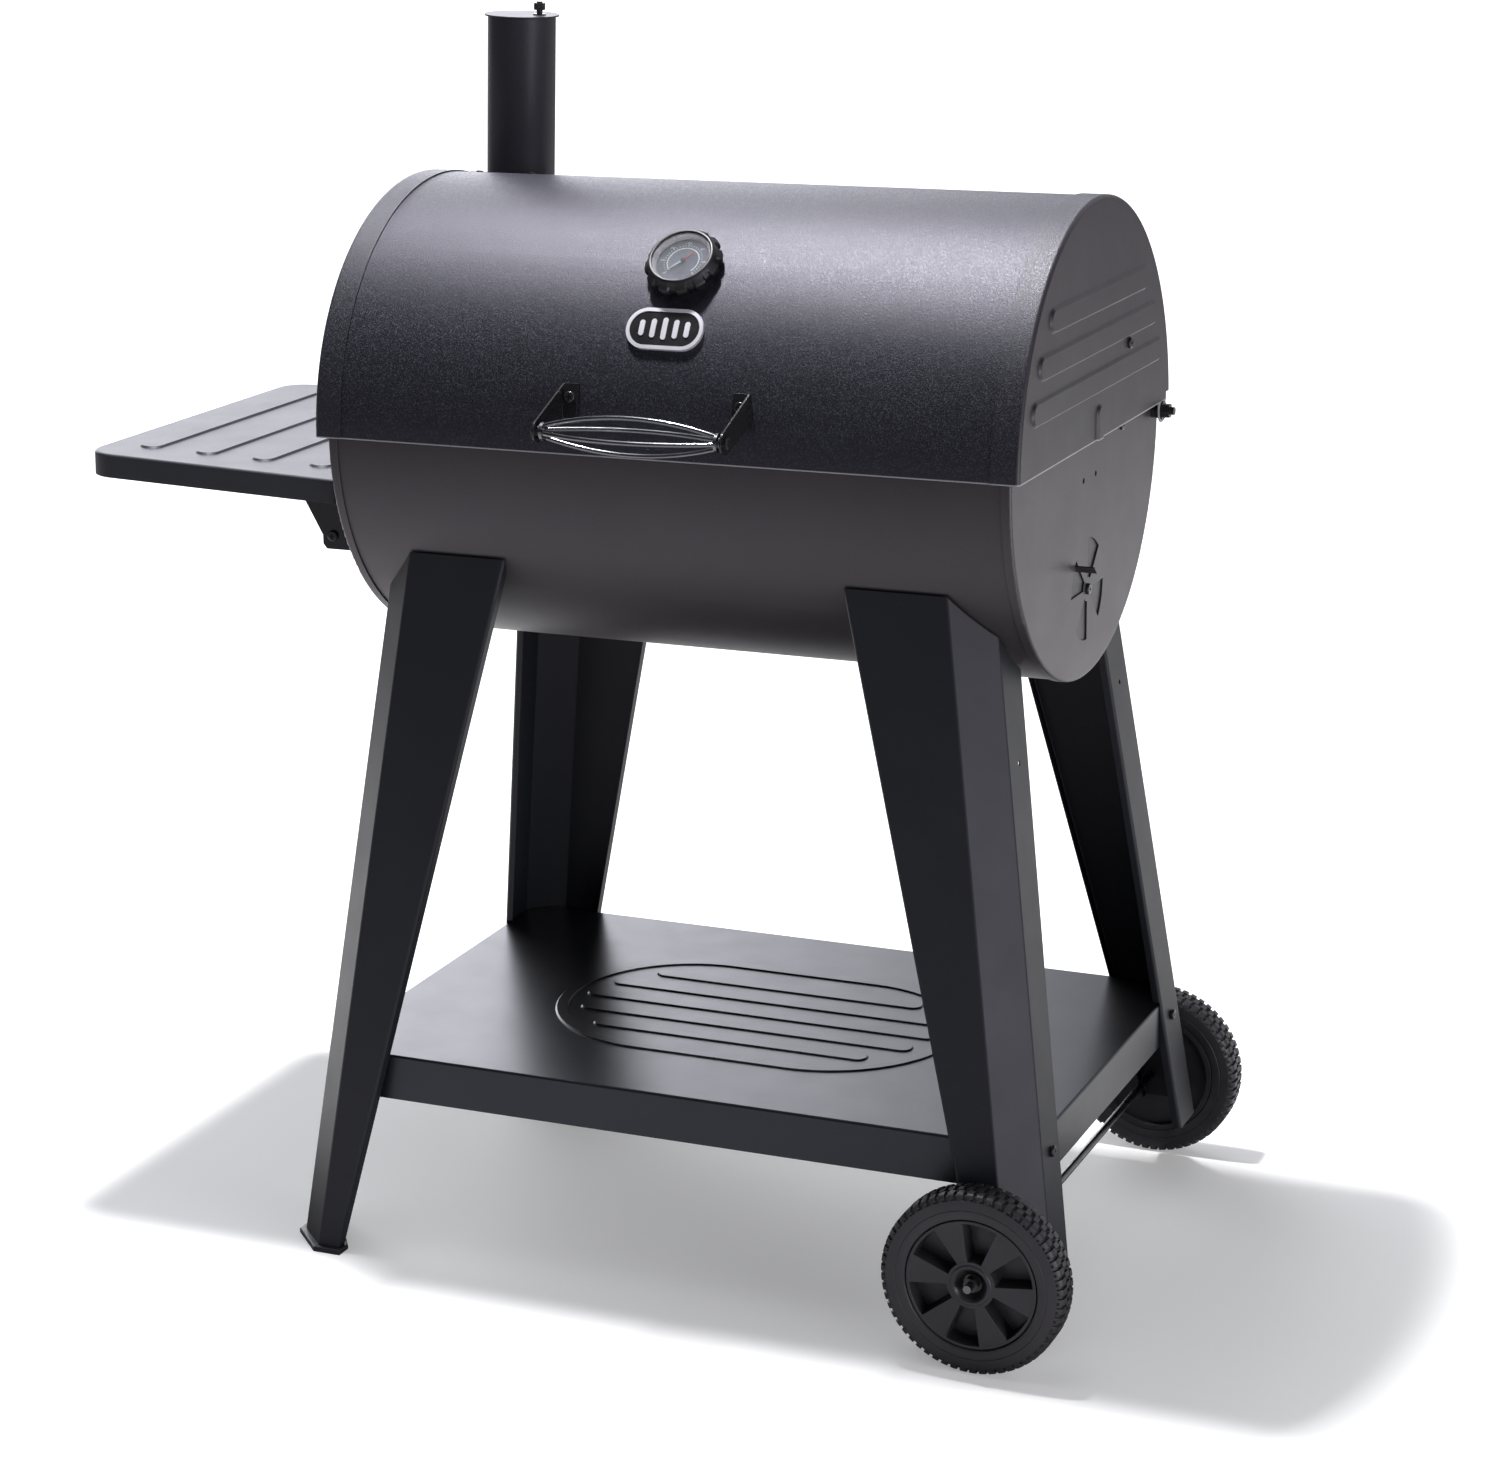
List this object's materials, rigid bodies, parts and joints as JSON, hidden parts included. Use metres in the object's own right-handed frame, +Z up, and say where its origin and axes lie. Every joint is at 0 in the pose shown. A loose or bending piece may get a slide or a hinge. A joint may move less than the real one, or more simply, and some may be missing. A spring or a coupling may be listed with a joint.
{
  "type": "barrel charcoal grill",
  "caption": "Barrel charcoal grill with hinged lid, chimney damper, end vent, lid thermometer, side shelf, bottom shelf and wheels.",
  "frame": {"origin": "On the floor, at the centre of the grill's bounding box seen from above.", "axes": "+Z up; +X along the barrel towards the wheels and the vent; +Y towards the back, where the lid's hinges are."},
  "size_m": [1.0798, 0.642, 1.2312],
  "materials": {
    "lid_paint": "sparkling black powder coat",
    "firebox_paint": "satin dark grey heat-proof paint",
    "leg_paint": "matte black powder coat",
    "shelf_paint": "satin black powder coat",
    "side_shelf_paint": "satin black powder coat",
    "end_paint": "satin black heat-proof paint",
    "lid_end_paint": "satin dark grey heat-proof paint with a sparkling rim",
    "dial_white": "white print",
    "chimney_paint": "black powder coat",
    "bracket_paint": "black powder coat",
    "damper_paint": "satin dark paint",
    "cast_grate": "black porcelain enamel wire",
    "coal_grate": "bare steel rod",
    "zinc": "zinc-plated steel",
    "bolt_black": "black oxide",
    "wire_chrome": "polished chrome",
    "gauge_steel": "turned stainless steel",
    "bezel_black": "moulded black heat-proof resin",
    "gauge_glass": "clear glass",
    "gauge_face": "printed dial",
    "needle_paint": "red paint",
    "badge_rim": "cast and polished",
    "badge_black": "gloss black inlay",
    "tyre_plastic": "moulded black tread ring",
    "rim_plastic": "moulded black wheel centre",
    "foot_plastic": "moulded glide"
  },
  "bodies": {
    "root": {"firebox_shell": "firebox_paint", "firebox_end_right": "firebox_paint", "firebox_end_left": "firebox_paint", "firebox_end_bolts": "bolt_black", "grate_rails": "end_paint", "coal_rails": "end_paint", "cooking_grate_left": "cast_grate", "cooking_grate_right": "cast_grate", "charcoal_grate": "coal_grate", "vent_bolt": "bolt_black", "hinge_bolts": "bolt_black", "hinge_spacers": "bolt_black", "hinge_nuts": "bolt_black", "leg_front_right": "leg_paint", "leg_rear_right": "leg_paint", "leg_front_left": "leg_paint", "leg_rear_left": "leg_paint", "leg_brackets": "bracket_paint", "leg_bolts": "bolt_black", "foot_front": "foot_plastic", "foot_rear": "foot_plastic", "bottom_shelf": "shelf_paint", "bottom_shelf_bolts": "bolt_black", "side_shelf": "side_shelf_paint", "side_shelf_gusset_front": "bracket_paint", "side_shelf_gusset_rear": "bracket_paint", "side_shelf_wall_brackets": "bracket_paint", "side_shelf_bolts": "bolt_black", "axle": "zinc", "axle_fittings": "bolt_black"},
    "lid": {"lid_shell": "lid_paint", "lid_end_right": "lid_end_paint", "lid_end_left": "lid_end_paint", "lid_end_bolts": "bolt_black", "handle_bracket_right": "bracket_paint", "handle_bracket_left": "bracket_paint", "handle_wires": "wire_chrome", "handle_collars": "wire_chrome", "handle_end_bolts": "bolt_black", "handle_bolts": "bolt_black", "gauge_case": "gauge_steel", "gauge_bezel": "bezel_black", "gauge_glass": "gauge_glass", "gauge_dial": "gauge_face", "gauge_stem": "gauge_steel", "gauge_nut": "zinc", "badge_plate": "badge_rim", "badge_inlay": "badge_black", "chimney_pipe": "chimney_paint", "chimney_flange": "chimney_paint", "chimney_bolts": "bolt_black", "chimney_bridge": "chimney_paint", "chimney_damper_bolt": "bolt_black"},
    "chimney_damper": {"chimney_damper": "damper_paint"},
    "vent_damper": {"vent_damper": "damper_paint"},
    "needle": {"gauge_needle": "needle_paint"},
    "wheel_front": {"wheel_rim_front": "rim_plastic", "wheel_tyre_front": "tyre_plastic"},
    "wheel_rear": {"wheel_rim_rear": "rim_plastic", "wheel_tyre_rear": "tyre_plastic"}
  },
  "joints": [
    {"name": "lid_hinge", "type": "hinge", "parent": "root", "child": "lid", "pos_m": [0.10573, 0.21, 0.8285], "axis": [-1, 0, 0], "range_deg": [0, 88]},
    {"name": "chimney_damper_pivot", "type": "hinge", "parent": "lid", "child": "chimney_damper", "pos_m": [-0.16339, 0.098, 1.21656], "axis": [0.0401, 0, 0.9992], "range_deg": [0, 90]},
    {"name": "vent_damper_pivot", "type": "hinge", "parent": "root", "child": "vent_damper", "pos_m": [0.45373, 0, 0.6905], "axis": [1, 0, 0], "range_deg": [0, 36]},
    {"name": "gauge_needle_turn", "type": "hinge", "parent": "lid", "child": "needle", "pos_m": [0.10873, -0.16467, 1.01539], "axis": [0, 0.6691, -0.7431], "range_deg": [0, 270]},
    {"name": "wheel_front_spin", "type": "hinge", "parent": "root", "child": "wheel_front", "pos_m": [0.44873, -0.294, 0.0912], "axis": [0, 1, 0], "continuous": true},
    {"name": "wheel_rear_spin", "type": "hinge", "parent": "root", "child": "wheel_rear", "pos_m": [0.44873, 0.294, 0.0912], "axis": [0, 1, 0], "continuous": true}
  ]
}
